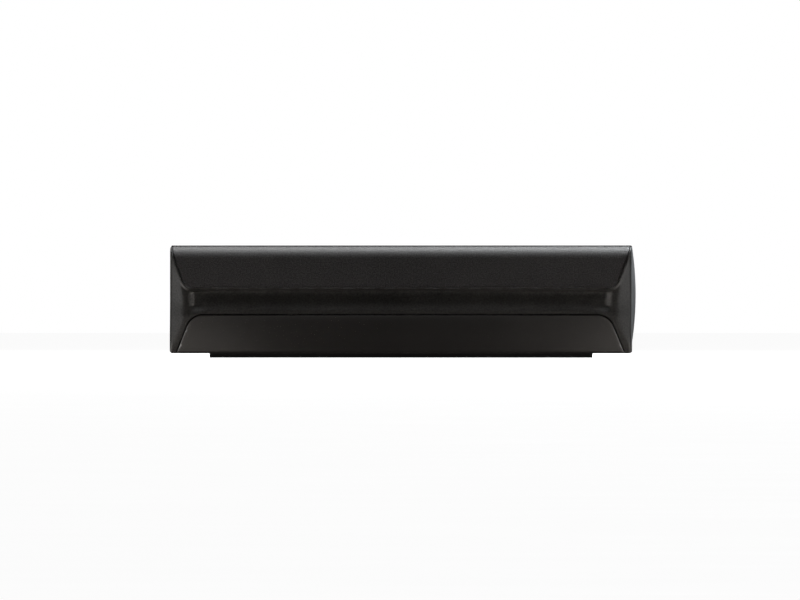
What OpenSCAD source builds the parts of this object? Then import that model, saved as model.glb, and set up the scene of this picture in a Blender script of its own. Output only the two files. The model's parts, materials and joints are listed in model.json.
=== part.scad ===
// Compact soundbar: faceted front, cloth grille over the top edge, bowed ends.
// Origin: middle of the footprint, on the surface it stands on.
// +X is the listener's right, the front faces -Y, +Z is up. Millimetres.

/* [Overall] */
// Width over the crown of the two bowed ends
body_w = 364.6; // [340:0.2:400]
// Depth from the foremost front edge to the rear panel
body_d = 104; // [90:1:130]
// Height from table to top surface
body_h = 88; // [80:1:100]
// Height of the rubber foot strips below the body
foot_h = 3.5; // [2:0.5:6]
// Width of the straight front frame
front_w = 361.8; // [336:0.2:398]

/* [Front face] */
// Height of the raised lip under the cloth panel
lip_z = 54.8; // [50:0.2:60]
// How far the lip sits behind the foremost edge
lip_back = 2; // [0:0.5:6]
// Lean of the cloth panel away from vertical
panel_tilt = 15; // [5:1:30]
// Radius of the rolled top front edge
roll_r = 14; // [8:1:18]
// Half width of the cloth panel at the lip
panel_half = 168.8; // [150:0.2:172]
// Widening of the cloth panel per millimetre of height
panel_flare = 0.385; // [0.2:0.01:0.5]
// Corner radius of the cloth panel
panel_r = 10.2; // [6:0.2:24]
// Top of the lower fascia
fascia_z = 34; // [28:0.5:38]
// Half width of the lower fascia at its top
fascia_half = 163.5; // [150:0.2:168]
// Widening of the lower fascia per millimetre down
fascia_flare = 0.404; // [0.2:0.001:0.5]
// Corner radius of the lower fascia
fascia_r = 14.6; // [6:0.2:24]
// Gap round the lower fascia
seam = 0.8; // [0.4:0.1:1.5]
// Depth of the cove under the lip
cove_depth = 4.5; // [2:0.5:6]

/* [Enclosure] */
// Wall thickness of the moulded panels
wall = 2.6; // [2:0.1:4]
// Clearance between neighbouring panels
gap = 0.3; // [0.2:0.05:0.6]
// Where the front frame ends and the end caps begin
split_y = -28; // [-36:1:-20]
// Rear edge of the cloth on the top
cloth_end_y = -8; // [-20:1:10]
// Radius of the bowed ends, seen from the front
bow_r = 250; // [180:5:600]

/* [Drivers] */
// Distance of each driver from the middle
driver_x = 118; // [90:1:130]
// Outer radius of the driver flange
driver_r = 21; // [18:0.5:22]
// Travel of the cone each way
cone_travel = 2; // [1:0.5:3]
// Outer radius of the rear passive radiator frame
radiator_r = 29; // [24:1:31]

/* [Controls] */
// Spacing of the top buttons
button_pitch = 22; // [18:1:28]
// Radius of each button
button_r = 6; // [4:0.5:7]
// Press travel of each button
button_travel = 0.7; // [0.4:0.1:1]

/* [Rear] */
// Half width of the connector bay
bay_half = 62; // [50:1:64]
// Spacing of the two wall bracket inserts
insert_pitch = 152; // [140:1:160]

/* [Hidden] */
$fn = 48;

front_y = -body_d / 2;
rear_y = body_d / 2;
lip_y = front_y + lip_back;
half_w = body_w / 2;
front_half = front_w / 2;
inner_half = 175.9;
tilt_t = tan(panel_tilt);
cloth_back = 0.8;
cloth_t = 0.6;
frame_t = 2;
valley_z = 45;
bow_z = 49.5;
far = 400;

// Driver plane: 45 degrees, facing up and to the front
plane_y = -26.3;
plane_z = 64.2;

deck_t = 2.6;
strip_z = body_h - 0.6;
button_y = 16;
board_z = 14.5;
board_t = 1.6;
bay_low = 12;
bay_high = 48;
bay_y = 34;
socket_z = board_z + board_t;
rear_in = rear_y - wall;
radiator_z = 47;
insert_z = 60;

charcoal = [0.13, 0.13, 0.13];
cloth_black = [0.09, 0.09, 0.09];
satin_black = [0.11, 0.11, 0.12];
rubber_black = [0.05, 0.05, 0.05];
inner_black = [0.17, 0.17, 0.18];
board_green = [0.10, 0.28, 0.16];
steel = [0.66, 0.67, 0.69];
ferrite = [0.2, 0.2, 0.22];
copper = [0.72, 0.42, 0.22];
paper = [0.16, 0.15, 0.14];
alloy = [0.72, 0.73, 0.75];
brass = [0.76, 0.62, 0.32];

// ---------- helpers ----------

// A shape drawn in (y, z), run along X about the middle
module along_x(len) {
  rotate([90, 0, 90])
    linear_extrude(height = len, center = true)
      children();
}

// A shape drawn in (x, z), run along Y
module along_y(y0, y1) {
  translate([0, y1, 0])
    rotate([90, 0, 0])
      linear_extrude(height = y1 - y0)
        children();
}

// A box by its two corners
module box(a, b) {
  translate(a)
    cube(b - a);
}

// A cylinder pointing along +Y
module rod_y(x, y0, y1, z, r) {
  translate([x, y1, z])
    rotate([90, 0, 0])
      cylinder(r = r, h = y1 - y0);
}

// A ring: cylinder with a coaxial hole
module ring(r_out, r_in, z0, z1) {
  difference() {
    translate([0, 0, z0])
      cylinder(r = r_out, h = z1 - z0);
    translate([0, 0, z0 - 1])
      cylinder(r = r_in, h = z1 - z0 + 2);
  }
}

// Points of an arc
function arc(cx, cy, r, a0, a1, n) =
  [for (i = [0:n]) [cx + r * cos(a0 + (a1 - a0) * i / n), cy + r * sin(a0 + (a1 - a0) * i / n)]];

// Everything on the outer side of the plane through three points
module outside(a, b, c) {
  m = cross(b - a, c - a);
  n = m / norm(m);
  translate(a)
    rotate([0, acos(n[2]), atan2(n[1], n[0])])
      translate([-far, -far, 0])
        cube([2 * far, 2 * far, far]);
}

// Both sides, mirrored
module both_sides() {
  children();
  mirror([1, 0, 0])
    children();
}

// ---------- front shape ----------

// Front surface of the cloth panel at a height, before any offset
function upper_y(z) = lip_y + (z - lip_z) * tilt_t;

// Centre of the rolled top edge
roll_z = body_h - roll_r;
roll_y = lip_y + (roll_z - lip_z) * tilt_t + roll_r / cos(panel_tilt);

// Section of the upper front and top, d inside the outer surface
function upper_line(d, z0, y_end) = concat(
  [[upper_y(z0) + d / cos(panel_tilt), z0]],
  arc(roll_y, roll_z, roll_r - d, 180 - panel_tilt, 90, 10),
  [[y_end, body_h - d]]
);

// Section of the lower front, d inside the outer surface
function lower_line(d) = [
  [front_y + d, fascia_z + 3],
  [front_y + d, fascia_z],
  [front_y + 0.8 + d, 24],
  [front_y + 3 + d, 14],
  [front_y + 7 + d, foot_h - 0.01]
];

// Cloth panel outline seen from the front, s outside the opening
function panel_shape(s) = let(
  r = panel_r + s,
  z0 = lip_z - s,
  a = atan(panel_flare),
  x0 = panel_half + s * (1 / cos(a) - panel_flare),
  k = r * tan((90 - a) / 2),
  cx = x0 - k,
  zt = 96
) concat(
  arc(cx, z0 + r, r, -90, -a, 12),
  [[x0 + (zt - z0) * panel_flare, zt], [-x0 - (zt - z0) * panel_flare, zt]],
  arc(-cx, z0 + r, r, 180 + a, 270, 12)
);

// Lower fascia outline seen from the front, s inside the opening
function fascia_shape(s, z_low) = let(
  r = fascia_r - s,
  z1 = fascia_z + seam / 2 - s,
  a = atan(fascia_flare),
  x0 = fascia_half + seam / 2 - s * (1 / cos(a) - fascia_flare),
  cx = x0 - r * tan((90 - a) / 2),
  xb = x0 + (z1 - z_low) * fascia_flare
) concat(
  [[-xb, z_low], [xb, z_low]],
  arc(cx, z1 - r, r, a, 90, 12),
  arc(-cx, z1 - r, r, 90, 180 - a, 12)
);

// Whole front body, d inside the outer surface, before any opening
module front_body(d) {
  cove_in = d > 0 ? cove_depth - lip_back / 2 : 0;
  fold = d * 1.7;
  difference() {
    intersection() {
      along_x(front_w - 2 * d)
        polygon(concat(
          [[split_y, foot_h - d]],
          [[front_y + 7 + d, foot_h - d]],
          [for (i = [4:-1:0]) lower_line(d)[i]],
          d > 0 ? [[lip_y + d + cove_in, fascia_z + 5], [lip_y + d + cove_in, lip_z]] : [],
          upper_line(d, lip_z, split_y)
        ));
      box([-far, -far, foot_h - d], [far, split_y + d, far]);
    }
    both_sides()
      flap_cuts(fold);
  }
}

// The slanted planes that fold the front back towards each end
module flap_cuts(d) {
  v = [169.6 - d, lip_y, valley_z];
  c = [180.9 - d, lip_y + 7.9, valley_z];
  top = [180.9 - d, lip_y + 7.9, 86];
  low = [180.9 - d, lip_y + 2.7, 5];
  intersection() {
    outside(v, c, top);
    box([100, -far, valley_z], [far, far, far]);
  }
  intersection() {
    outside(v, low, c);
    box([100, -far, -far], [far, far, valley_z]);
  }
}

// The cove: a scooped channel under the lip that runs out on the slanted ends, past a small hollow
module cove() {
  y0 = lip_y - 8;
  d = lip_y + cove_depth - 1;
  intersection() {
    along_x(2 * far)
      polygon([
        [y0, fascia_z + 3],
        [front_y - 0.1, fascia_z + 3],
        [front_y + 2.5, fascia_z + 4],
        [d - 0.8, fascia_z + 7],
        [d, fascia_z + 11],
        [d, fascia_z + 15],
        [d - 0.8, fascia_z + 17.8],
        [lip_y + 1.2, fascia_z + 19.6],
        [lip_y, fascia_z + 19.8],
        [y0, fascia_z + 19.8]
      ]);
    box([-177, lip_y - 8, 0], [177, d, far]);
  }
  both_sides() {
    translate([171.3, lip_y + 0.2, 42])
      sphere(r = 5);
    translate([171.3, lip_y + 0.2, 42])
      cylinder(r = 5, h = 6.5);
    translate([171.3, lip_y + 0.2, 48.5])
      sphere(r = 5);
  }
}

// Prisms that carry the two front outlines
module panel_prism(s) {
  along_y(-70, rear_y)
    polygon(panel_shape(s));
}

module fascia_prism(s, z_low) {
  along_y(-70, -30)
    polygon(fascia_shape(s, z_low));
}

// ---------- front parts ----------

module front_bezel() {
  color(charcoal)
    difference() {
      front_body(0);
      front_body(wall + 1);
      cove();
      box([-far, -60, -1], [far, split_y + 1, foot_h]);
      panel_prism(-4);
      // rebate for the grille frame
      intersection() {
        panel_prism(0);
        along_x(2 * far)
          polygon([
            [-80, lip_z - 5], [upper_y(lip_z - 5) + 3.6, lip_z - 5],
            [upper_y(74) + 3.6, 74], [split_y + 2, 76], [split_y + 2, 96], [-80, 96]
          ]);
      }
      // rebate for the lower fascia
      intersection() {
        fascia_prism(0, foot_h - 1);
        along_x(2 * far)
          polygon(concat([[-80, 50]], [[front_y + 2.4, 50]], lower_line(2.4), [[-80, foot_h - 0.01]]));
      }
      // windows behind the fascia for the indicator board
      box([-24, -60, 12], [24, split_y, 30]);
      box([-far, -60, 84], [far, split_y + 1, far]);
    }
}

module lower_fascia() {
  color(satin_black)
    intersection() {
      fascia_prism(seam, foot_h + 0.3);
      along_x(2 * far)
        polygon(concat(
          [for (i = [0:4]) lower_line(0)[i]],
          [for (i = [4:-1:0]) lower_line(2.3)[i]]
        ));
    }
}

// Shell under the cloth or the cloth itself, between two depths
module upper_shell(d0, d1, inset, y_end) {
  difference() {
    intersection() {
      along_x(2 * far)
        polygon(concat(
          upper_line(d0, lip_z - 2, y_end),
          [for (p = [12:-1:0]) upper_line(d1, lip_z - 2, y_end)[p]]
        ));
      panel_prism(-inset);
    }
    both_sides()
      box([inner_half, split_y - gap, 60], [far, far, far]);
    both_sides()
      box([front_half - gap, -far, 0], [far, far, far]);
  }
}

module grille_frame() {
  d0 = cloth_back + cloth_t;
  color(inner_black)
    difference() {
      upper_shell(d0, d0 + frame_t, gap, cloth_end_y - gap);
      for (i = [-4:4]) {
        box([i * 38 - 17, -70, lip_z + 4.5], [i * 38 + 17, -35.5, 74]);
        box([i * 38 - 17, -27, 70], [i * 38 + 17, -12, 100]);
      }
    }
}

module grille_cloth() {
  color(cloth_black)
    upper_shell(cloth_back, cloth_back + cloth_t, gap, cloth_end_y - gap);
}

// ---------- enclosure ----------

module top_deck() {
  r = 5;
  color(charcoal)
    difference() {
      union() {
        along_x(2 * inner_half)
          polygon(concat(
            [[cloth_end_y, body_h - deck_t], [cloth_end_y, body_h]],
            arc(rear_y - r, body_h - r, r, 90, 0, 8),
            [[rear_y, 78], [rear_in, 78], [rear_in, body_h - deck_t - 2.4]],
            [[rear_in - 2.4, body_h - deck_t]]
          ));
        // posts for the control board and bosses for the rear screws
        for (x = [-55.5, -33, 33, 55.5])
          translate([x, button_y, 77.8])
            cylinder(r = 2.3, h = 8);
        for (x = [-160, -80, -30, 30, 80, 160]) {
          rod_y(x, 39, rear_in - gap, 73, 3.5);
          box([x - 1, 39, 73], [x + 1, rear_in - gap, body_h - deck_t + 0.1]);
        }
      }
      box([-60, 6, strip_z], [60, 26, far]);
      for (i = [-2:2])
        translate([i * button_pitch, button_y, 80])
          cylinder(r = button_r + 0.35, h = 20);
      for (x = [-55.5, -33, 33, 55.5])
        translate([x, button_y, 77])
          cylinder(r = 1.3, h = 6.5);
      for (x = [-160, -80, -30, 30, 80, 160])
        rod_y(x, 40.5, 60, 73, 1.6);
    }
}

// Half width of an end at a height, t inside the surface
function bow(z, t) = half_w - t - (z - bow_z) * (z - bow_z) / (2 * bow_r);

module end_cap() {
  n = 16;
  z0 = foot_h + 0.3;
  z1 = body_h - 1.5;
  r = 4;
  y0 = split_y + gap;
  color(charcoal)
    difference() {
      intersection() {
        along_y(y0, rear_y)
          polygon(concat(
            [[150, z0], [bow(z0 + 3, 2.2), z0]],
            [for (i = [0:n]) let(z = z0 + 3 + (z1 - z0 - 3) * i / n) [bow(z, 0), z]],
            [[bow(z1, 1.6), body_h], [150, body_h]]
          ));
        // bowed plan, and the rear corner softened
        linear_extrude(height = far)
          polygon(concat(
            [[150, y0], [front_half + 0.2, y0], [front_half + 0.9, -18], [half_w, -4], [half_w, 6]],
            [[half_w - 0.5, 28], [half_w - 1.5, rear_y - r - 2]],
            arc(half_w - 2 - r, rear_y - r, r, 10, 90, 6),
            [[150, rear_y]]
          ));
      }
      box([0, -far, -1], [inner_half + gap, far, far]);
      // hollow back of the cap
      box([0, y0 + 4, foot_h + 4], [inner_half + 2, rear_y - 4, body_h - 4]);
    }
}

module right_end_cap() {
  end_cap();
}

module left_end_cap() {
  mirror([1, 0, 0])
    end_cap();
}

// Rounded rectangle in (x, z)
module rounded_rect(w, h, r) {
  square([w - 2 * r, h], center = true);
  square([w, h - 2 * r], center = true);
  for (sx = [-1, 1], sz = [-1, 1])
    translate([sx * (w / 2 - r), sz * (h / 2 - r)])
      circle(r = r);
}

module rear_panel() {
  color(charcoal)
    difference() {
      union() {
        box([-inner_half, rear_in, foot_h + 0.3], [inner_half, rear_y, 78 - gap]);
        // bosses for the tray screws
        for (x = [-165, -75, 75, 165])
          translate([x, 46, 6.3])
            cylinder(r = 3.6, h = 5.6);
        // sleeves for the wall bracket inserts
        for (s = [-1, 1])
          rod_y(s * insert_pitch / 2, 38, rear_in + 0.1, insert_z, 4.6);
      }
      along_y(30, 60)
        translate([0, (bay_low + bay_high) / 2])
          rounded_rect(2 * bay_half, bay_high - bay_low, 3);
      for (s = [-1, 1]) {
        rod_y(s * driver_x, 30, 60, radiator_z, radiator_r - 3);
        rod_y(s * insert_pitch / 2, 37, 60, insert_z, 3.2);
        for (a = [45:90:315]) {
          rod_y(s * driver_x + 27.5 * cos(a), 30, 60, radiator_z + 27.5 * sin(a), 1.4);
          rod_y(s * driver_x + 27.5 * cos(a), rear_y - 1.1, 60, radiator_z + 27.5 * sin(a), 2.2);
        }
      }
      // cooling slots over the bay
      for (i = [-7:7])
        box([i * 7 - 1.2, 40, 54], [i * 7 + 1.2, 60, 66]);
      for (x = [-160, -80, -30, 30, 80, 160]) {
        rod_y(x, 40, 60, 73, 1.7);
        rod_y(x, rear_y - 1.2, 60, 73, 3.1);
      }
      for (x = [-165, -75, 75, 165])
        translate([x, 46, 0])
          cylinder(r = 1.6, h = 11.2);
    }
}

module connector_bay() {
  color(inner_black)
    difference() {
      box([-bay_half - 2, bay_y - 2, bay_low - 2], [bay_half + 2, rear_in - 0.2, bay_high + 2]);
      box([-bay_half, bay_y, bay_low], [bay_half, 60, bay_high]);
      // cut-outs for the sockets
      box([-52.2, 20, socket_z + 0.1], [-39.8, 40, socket_z + 11.9]);
      box([-29.8, 20, socket_z + 0.1], [-14.2, 40, socket_z + 6.4]);
      box([-6.9, 20, socket_z + 0.1], [6.9, 40, socket_z + 7.6]);
      box([14.9, 20, socket_z + 0.1], [25.1, 40, socket_z + 10.4]);
      rod_y(42, 20, 40, socket_z + 5, 4.2);
    }
}

module bottom_tray() {
  color(charcoal)
    difference() {
      union() {
        box([-inner_half, -41, foot_h], [inner_half, rear_in - gap, foot_h + wall]);
        for (x = [-56, 56], y = [-24, 24])
          translate([x, y, foot_h + 1])
            cylinder(r = 3, h = board_z - foot_h - 1.1);
      }
      both_sides()
        linear_extrude(height = 20)
          polygon([[172, -60], [172, -39], [190, -26], [190, -60]]);
      box([-150.2, -40.2, 0], [150.2, -29.8, foot_h + 0.9]);
      box([-150.2, 29.8, 0], [150.2, 40.2, foot_h + 0.9]);
      for (x = [-56, 56], y = [-24, 24])
        translate([x, y, foot_h + wall + 1])
          cylinder(r = 1.3, h = 20);
      for (x = [-165, -75, 75, 165]) {
        translate([x, 46, 0])
          cylinder(r = 1.7, h = 20);
        translate([x, 46, 0])
          cylinder(r = 3.1, h = foot_h + 1.2);
      }
      for (x = [-155, 155])
        translate([x, -32.7, 0]) {
          cylinder(r = 1.7, h = 20);
          cylinder(r = 3.1, h = foot_h + 1.2);
        }
    }
}

// A ribbed rubber strip
module foot(y) {
  color(rubber_black)
    difference() {
      box([-150, y - 5, 0], [150, y + 5, foot_h + 0.8]);
      for (k = [-1, 1])
        box([-151, y + k * 2.2 - 0.6, -1], [151, y + k * 2.2 + 0.6, 0.6]);
    }
}

module front_foot() {
  foot(-35);
}

module rear_foot() {
  foot(35);
}

// ---------- controls ----------

module button(i) {
  color(satin_black)
    translate([i * button_pitch, button_y, 0]) {
      translate([0, 0, 84.6])
        cylinder(r = button_r, h = body_h - 0.1 - 84.6);
      translate([0, 0, 83.8])
        cylinder(r = button_r + 1.2, h = 1.2);
      translate([0, 0, 80.6])
        cylinder(r = 2, h = 3.5);
    }
}

module power_button() {
  button(-2);
}

module source_button() {
  button(-1);
}

module mute_button() {
  button(0);
}

module volume_down_button() {
  button(1);
}

module volume_up_button() {
  button(2);
}

module control_board() {
  color(board_green)
    difference() {
      box([-60, button_y - 7, 76], [60, button_y + 7, 77.6]);
      for (x = [-55.5, -33, 33, 55.5])
        translate([x, button_y, 70])
          cylinder(r = 1.5, h = 20);
    }
}

module tact_switches() {
  color(steel)
    for (i = [-2:2])
      translate([i * button_pitch, button_y, 77.6]) {
        translate([-3, -3, 0])
          cube([6, 6, 1.5]);
        cylinder(r = 1.7, h = 2.2);
      }
}

// ---------- acoustic parts ----------

// Moves a driver from its own frame to its place behind the cloth
module at_driver(side) {
  translate([side * driver_x, plane_y, plane_z])
    rotate([45, 0, 0])
      children();
}

module front_baffle() {
  f = plane_z - plane_y;
  b = f - 3 * sqrt(2);
  color(inner_black)
    difference() {
      union() {
        along_x(328)
          polygon([
            [-42.3, f - 42.3], [84 - f, 84], [84 - b, 84], [-36, b - 36],
            [-36, 6.3], [-38, 6.3], [-38, b - 38], [-40.18, b - 40.18]
          ]);
        for (x = [-155, 155])
          translate([x, -32.7, 6.3])
            cylinder(r = 3.5, h = 10);
      }
      for (s = [-1, 1])
        at_driver(s) {
          translate([0, 0, -10])
            cylinder(r = 18.7, h = 20);
          for (a = [0, 90, 180, 270])
            rotate([0, 0, a + 45])
              translate([19.7, 0, -6])
                cylinder(r = 1.3, h = 10);
        }
      for (x = [-155, 155])
        translate([x, -32.7, 5])
          cylinder(r = 1.6, h = 7);
    }
}

module divider(side) {
  color(inner_black)
    translate([side * 67, 0, 0])
      difference() {
        along_x(2.4)
          polygon([[-35.8, 6.3], [46, 6.3], [rear_in - 0.2, 10], [rear_in - 0.2, 77], [46, 84.9],
            [-1.2, 84.9], [-35.8, 50.2]]);
        rotate([0, 90, 0])
          translate([-21, -10, -5])
            cylinder(r = 3, h = 10);
      }
}

module left_divider() {
  divider(-1);
}

module right_divider() {
  divider(1);
}

// Pressed steel basket with four windows; its floor is the front pole plate
module basket(side) {
  color(steel)
    at_driver(side)
      difference() {
        rotate_extrude()
          polygon([
            [7.4, -14.5], [15, -14.5], [15, -12.5], [18.4, -2], [18.4, 0], [driver_r, 0],
            [driver_r, 1.4], [17.4, 1.4], [17.4, -1.6], [14, -12.2], [7.4, -12.5]
          ]);
        for (a = [0, 90, 180, 270])
          rotate([0, 0, a])
            translate([10, -5, -11.8])
              cube([15, 10, 8.2]);
        for (a = [0, 90, 180, 270])
          rotate([0, 0, a + 45])
            translate([19.7, 0, -3])
              cylinder(r = 1.35, h = 10);
      }
}

module left_basket() {
  basket(-1);
}

module right_basket() {
  basket(1);
}

module magnet(side) {
  color(ferrite)
    at_driver(side)
      ring(16, 9, -22, -14.5);
}

module left_magnet() {
  magnet(-1);
}

module right_magnet() {
  magnet(1);
}

// Back plate with the centre pole
module yoke(side) {
  color(steel)
    at_driver(side) {
      translate([0, 0, -24.5])
        cylinder(r = 15, h = 2.5);
      translate([0, 0, -23])
        cylinder(r = 6, h = 10.3);
    }
}

module left_yoke() {
  yoke(-1);
}

module right_yoke() {
  yoke(1);
}

// Corrugated centring disc
module spider(side) {
  color([0.72, 0.6, 0.3])
    at_driver(side)
      difference() {
        ring(13.6, 7.4, -11, -10);
        for (r = [8.8, 10.8, 12.6])
          ring(r + 0.5, r - 0.1, -10.4, -9);
      }
}

module left_spider() {
  spider(-1);
}

module right_spider() {
  spider(1);
}

module voice_coil(side) {
  color(copper)
    at_driver(side)
      ring(6.9, 6.4, -18, -6.2);
}

module left_voice_coil() {
  voice_coil(-1);
}

module right_voice_coil() {
  voice_coil(1);
}

module cone(side) {
  color(paper)
    at_driver(side)
      rotate_extrude()
        polygon([[7, -7.2], [7.6, -7.2], [13.9, -0.6], [14.2, -0.6], [14.2, 0], [13.6, 0], [7, -6.4]]);
}

module left_cone() {
  cone(-1);
}

module right_cone() {
  cone(1);
}

module dust_cap(side) {
  color([0.1, 0.1, 0.1])
    at_driver(side)
      translate([0, 0, -6.2])
        intersection() {
          difference() {
            translate([0, 0, -6.4])
              sphere(r = 9.4);
            translate([0, 0, -6.4])
              sphere(r = 8.8);
          }
          cylinder(r = 6.9, h = 6);
        }
}

module left_dust_cap() {
  dust_cap(-1);
}

module right_dust_cap() {
  dust_cap(1);
}

// Half-roll rubber surround
module surround(side) {
  color(rubber_black)
    at_driver(side)
      rotate_extrude()
        polygon(concat(
          [[14.6, -0.5]],
          arc(16, 0, 1.4, 180, 0, 8),
          [[17.3, -0.5], [16.9, -0.5]],
          arc(16, 0, 0.9, 0, 180, 8),
          [[15.1, -0.5]]
        ));
}

module left_surround() {
  surround(-1);
}

module right_surround() {
  surround(1);
}

// Moves a radiator from its own frame to the inside of the rear panel
module at_radiator(side) {
  translate([side * driver_x, rear_in, radiator_z])
    rotate([-90, 0, 0])
      children();
}

module radiator_frame(side) {
  color(inner_black)
    at_radiator(side)
      difference() {
        ring(radiator_r, 25.4, -4, -0.1);
        for (a = [45:90:315])
          rotate([0, 0, a])
            translate([27.5, 0, -3])
              cylinder(r = 1.3, h = 10);
      }
}

module left_radiator_frame() {
  radiator_frame(-1);
}

module right_radiator_frame() {
  radiator_frame(1);
}

module radiator_surround(side) {
  color(rubber_black)
    at_radiator(side)
      rotate_extrude()
        polygon(concat(
          [[19.3, -3.4]],
          arc(22.3, -3, 3, 180, 0, 10),
          [[25.3, -3.4], [24.7, -3.4]],
          arc(22.3, -3, 2.4, 0, 180, 10),
          [[19.9, -3.4]]
        ));
}

module left_radiator_surround() {
  radiator_surround(-1);
}

module right_radiator_surround() {
  radiator_surround(1);
}

// Weighted disc that moves with the air in its chamber
module radiator(side) {
  color(satin_black)
    at_radiator(side)
      rotate_extrude()
        polygon([[0, -6], [6, -6], [6, -3.6], [18.6, -3.6], [19, -3.2], [19, -2], [18.2, -1.4], [14, -2.4], [0, -2.4]]);
}

module left_radiator() {
  radiator(-1);
}

module right_radiator() {
  radiator(1);
}

// ---------- electronics ----------

module main_board() {
  color(board_green)
    difference() {
      box([-60, -29, board_z], [60, 31.5, board_z + board_t]);
      for (x = [-56, 56], y = [-24, 24])
        translate([x, y, 0])
          cylinder(r = 1.5, h = 30);
    }
}

module amplifier_chips() {
  color([0.08, 0.08, 0.09])
    for (x = [-10, 10])
      box([x - 5, -6, socket_z + 0.1], [x + 5, 4, socket_z + 1.3]);
}

module heat_sink() {
  z = socket_z + 1.4;
  color(alloy) {
    box([-20, -10, z], [20, 8, z + 2]);
    for (i = [0:6])
      box([-20 + i * 6.4, -10, z + 1.9], [-18.4 + i * 6.4, 8, z + 12]);
  }
}

module capacitors() {
  color([0.14, 0.17, 0.3])
    for (x = [-44, -33, 33, 44])
      translate([x, -20, socket_z + 0.1])
        cylinder(r = 4, h = 12);
}

module wireless_module() {
  color(alloy) {
    box([34, 0, socket_z + 0.1], [52, 14, socket_z + 1.1]);
    box([36, 2, socket_z + 1.0], [50, 12, socket_z + 3.1]);
  }
}

// Open box socket facing the rear, with a contact tongue
module tongue_socket(x, w, h, t, tw, tz) {
  z = socket_z + 0.2;
  color(steel) {
    difference() {
      box([x - w / 2, 21, z], [x + w / 2, bay_y + 0.6, z + h]);
      box([x - w / 2 + t, 23, z + t], [x + w / 2 - t, 50, z + h - t]);
    }
    box([x - tw / 2, 22.9, z + tz], [x + tw / 2, bay_y - 1.4, z + tz + 1]);
  }
}

module hdmi_socket() {
  tongue_socket(-22, 15.2, 6, 0.5, 11, 2.5);
}

module usb_socket() {
  tongue_socket(0, 13.4, 7.2, 0.5, 11, 4.6);
}

module optical_socket() {
  z = socket_z + 0.2;
  color([0.1, 0.1, 0.1])
    difference() {
      box([15.2, 21, z], [24.8, bay_y + 0.6, z + 10]);
      box([16.8, 27, z + 1.8], [23.2, 50, z + 8.2]);
    }
}

module aux_socket() {
  z = socket_z + 0.2;
  color([0.1, 0.1, 0.1])
    difference() {
      union() {
        box([36.5, 20, z], [47.5, bay_y - 2.2, z + 9.6]);
        rod_y(42, 25, bay_y + 0.6, socket_z + 5, 3.9);
      }
      rod_y(42, 21.5, 60, socket_z + 5, 1.8);
    }
}

module dc_inlet() {
  z = socket_z + 0.2;
  color([0.1, 0.1, 0.1]) {
    difference() {
      box([-51.8, 21, z], [-40.2, bay_y + 0.6, z + 11.4]);
      rod_y(-46, 24, 60, z + 5.6, 3);
    }
    rod_y(-46, 23.9, bay_y - 1, z + 5.6, 1);
  }
}

// Small board behind the lower fascia: receiver and status lamps
module indicator_board() {
  color(board_green) {
    box([-20, -40.8, 15], [20, -39.4, 28]);
    for (x = [-12, -6, 0])
      box([x - 0.8, -41.6, 20.5], [x + 0.8, -40.7, 22]);
    box([7, -43.4, 18], [12, -40.7, 24]);
  }
}

// Insulated pair from the board to each driver, through the divider
module lead(side) {
  r = 1.2;
  y = -10;
  z = 21;
  x0 = side * 49;
  x1 = side * 97;
  translate([min(x0, x1), y, z])
    rotate([0, 90, 0])
      cylinder(r = r, h = abs(x1 - x0));
  translate([x1, y, z])
    sphere(r = r);
  translate([x1, y, z])
    cylinder(r = r, h = 32);
  box([side * 97 - 2.5, y - 2.5, z + 31], [side * 97 + 2.5, y + 2.5, z + 36]);
  box([side * 49 - 3, y - 3, socket_z + 0.1], [side * 49 + 3, y + 3, z + 3]);
}

module speaker_leads() {
  color([0.5, 0.08, 0.08])
    both_sides()
      lead(1);
}

// ---------- fasteners ----------

// Screw with its head at z = 0 and above, shank below
module screw(head_r, head_h, r, len) {
  difference() {
    union() {
      cylinder(r = head_r, h = head_h);
      translate([0, 0, -len])
        cylinder(r = r, h = len + 0.1);
    }
    for (a = [0, 90])
      rotate([0, 0, a])
        translate([-head_r * 0.6, -0.25, head_h * 0.5])
          cube([head_r * 1.2, 0.5, head_h]);
  }
}

module small_screws() {
  color(steel) {
    for (s = [-1, 1]) {
      at_driver(s)
        for (a = [0, 90, 180, 270])
          rotate([0, 0, a + 45])
            translate([19.7, 0, 1.42])
              screw(1.25, 0.8, 1.1, 4);
      at_radiator(s)
        for (a = [45:90:315])
          rotate([0, 0, a])
            translate([27.5, 0, wall - 1.08])
              screw(2, 0.8, 1.1, 4);
    }
    for (x = [-55.5, -33, 33, 55.5])
      translate([x, button_y, 75.98])
        rotate([180, 0, 0])
          screw(2.3, 0.8, 1.1, 4);
    for (x = [-56, 56], y = [-24, 24])
      translate([x, y, socket_z + 0.02])
        screw(2.3, 0.8, 1.1, 4);
  }
}

module housing_screws() {
  color([0.12, 0.12, 0.12]) {
    for (x = [-160, -80, -30, 30, 80, 160])
      translate([x, rear_y - 1.18, 73])
        rotate([-90, 0, 0])
          screw(2.8, 1, 1.4, 6);
    for (x = [-165, -75, 75, 165])
      translate([x, 46, foot_h + 1.18])
        rotate([180, 0, 0])
          screw(2.8, 1, 1.4, 6);
    for (x = [-155, 155])
      translate([x, -32.7, foot_h + 1.18])
        rotate([180, 0, 0])
          screw(2.8, 1, 1.4, 6);
  }
}

module wall_inserts() {
  color(brass)
    for (s = [-1, 1])
      translate([s * insert_pitch / 2, rear_y, insert_z])
        rotate([-90, 0, 0])
          ring(3.15, 2.1, -9, -0.1);
}

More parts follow.
